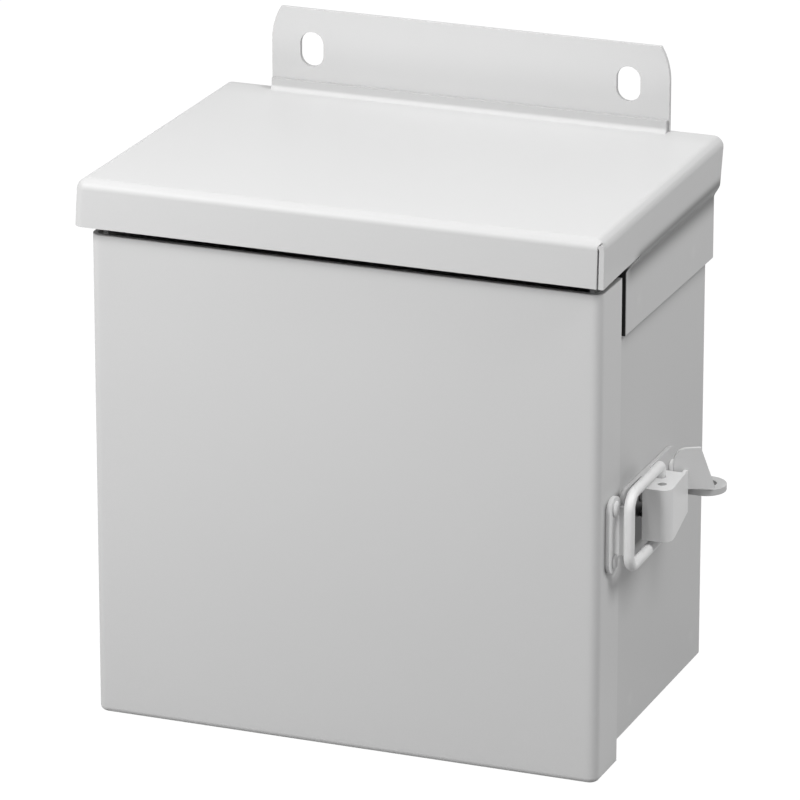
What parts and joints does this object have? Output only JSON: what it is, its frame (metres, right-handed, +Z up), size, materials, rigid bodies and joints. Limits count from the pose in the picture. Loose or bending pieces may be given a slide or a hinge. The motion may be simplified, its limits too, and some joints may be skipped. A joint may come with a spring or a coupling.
{
  "type": "junction box",
  "caption": "Wall-hung sheet-steel junction box with a drip hood, a side-hinged cover, a draw latch with padlock eye and a slotted hanging flange.",
  "frame": {"origin": "the point on the wall plane midway between the two hanging slots", "axes": "+Z up, +Y into the wall, +X to the right as seen from the front, so the cover faces -Y"},
  "size_m": [0.183, 0.109, 0.1941],
  "materials": {
    "grey_paint": "semi-gloss light grey powder coat",
    "bare_steel": "zinc plated"
  },
  "bodies": {
    "box": {"body_shell": "grey_paint", "bottom_panel": "grey_paint", "drip_hood": "grey_paint", "hinge_leaf_body": "grey_paint", "hinge_pin": "bare_steel", "latch_base": "grey_paint", "base_rivets": "grey_paint", "lever_pin": "bare_steel"},
    "cover": {"cover": "grey_paint", "hinge_leaf_cover": "grey_paint", "latch_keeper": "grey_paint", "keeper_rivets": "grey_paint"},
    "lever": {"latch_lever": "grey_paint"},
    "bail": {"latch_bail": "grey_paint"}
  },
  "joints": [
    {"name": "cover_hinge", "type": "hinge", "parent": "box", "child": "cover", "pos_m": [-0.0818, -0.083, -0.10565], "axis": [0, 0, -1], "range_deg": [0, 170]},
    {"name": "lever_pivot", "type": "hinge", "parent": "box", "child": "lever", "pos_m": [0.0872, -0.0715, -0.10565], "axis": [0, 0, -1], "range_deg": [0, 90]},
    {"name": "bail_pivot", "type": "hinge", "parent": "lever", "child": "bail", "pos_m": [0.0846, -0.0655, -0.10565], "axis": [0, 0, 1], "range_deg": [0, 100]}
  ],
  "couplings": [
    {"joint": "bail_pivot", "follows": "lever_pivot", "ratio": 1.1}
  ]
}
